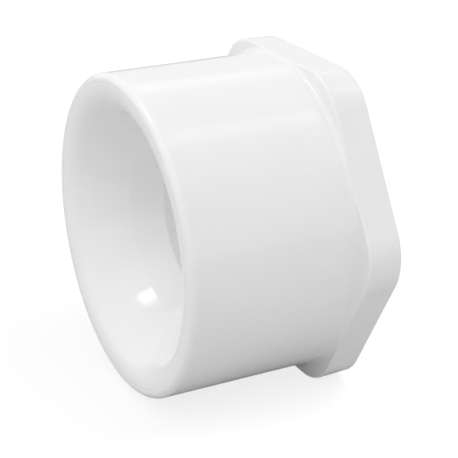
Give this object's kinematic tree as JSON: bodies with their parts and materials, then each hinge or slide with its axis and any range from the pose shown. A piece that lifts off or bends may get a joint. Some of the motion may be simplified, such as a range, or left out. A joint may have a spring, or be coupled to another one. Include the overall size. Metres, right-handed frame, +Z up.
{
  "type": "pipe reducer bushing",
  "caption": "Reducer bushing: plain round spigot with a bell-mouthed funnel inside, rounded hexagonal flange and a smaller pipe socket.",
  "frame": {"origin": "on the pipe axis, in the plane of the stop ledge, where the end of an inserted 1-1/2 in pipe comes to rest; it is also within 0.5 mm of the middle of the bushing's length", "axes": "X is the pipe axis: the pipe socket opens towards +X and the spigot's mouth is towards -X. +Z is up with one flat of the hexagon facing down; Y runs across two opposite corners of the hexagon"},
  "size_m": [0.0581, 0.0988, 0.0898],
  "materials": {
    "white_pvc": "glossy moulded white PVC with a faint grey-cream cast"
  },
  "bodies": {
    "root": {"bushing_body": "white_pvc"}
  },
  "joints": []
}
